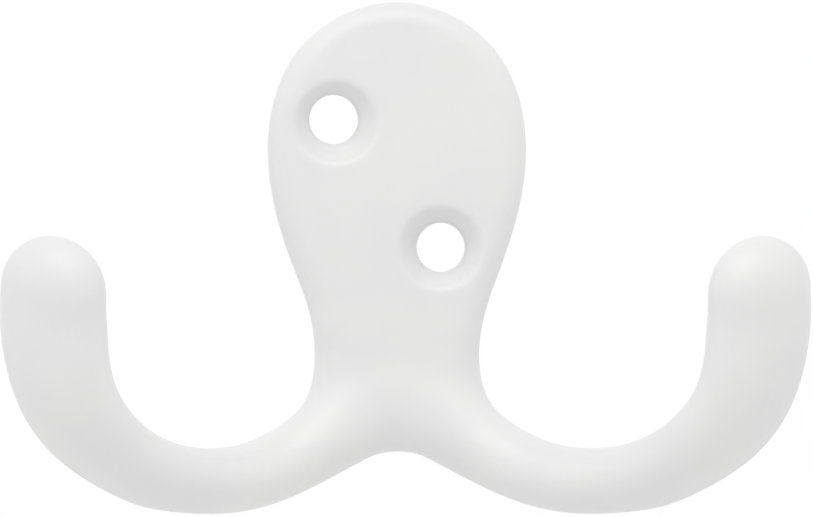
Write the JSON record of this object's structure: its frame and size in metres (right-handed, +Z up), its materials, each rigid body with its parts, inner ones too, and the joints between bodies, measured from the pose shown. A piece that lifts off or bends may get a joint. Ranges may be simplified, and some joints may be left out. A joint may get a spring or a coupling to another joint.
{
  "type": "double hook",
  "caption": "Cast double wall hook: a rounded back plate with countersunk screw holes, and arms that sweep out and up to thumb-shaped tips, for coats, robes and towels.",
  "frame": {"origin": "on the flat back, at the middle of the plate's round head", "axes": "+X to the right as seen from the front, +Z up, +Y into the wall; the arms come forward along -Y"},
  "size_m": [0.0698, 0.0274, 0.0444],
  "materials": {
    "white_coating": "satin"
  },
  "bodies": {
    "root": {"double_hook": "white_coating"}
  },
  "joints": []
}
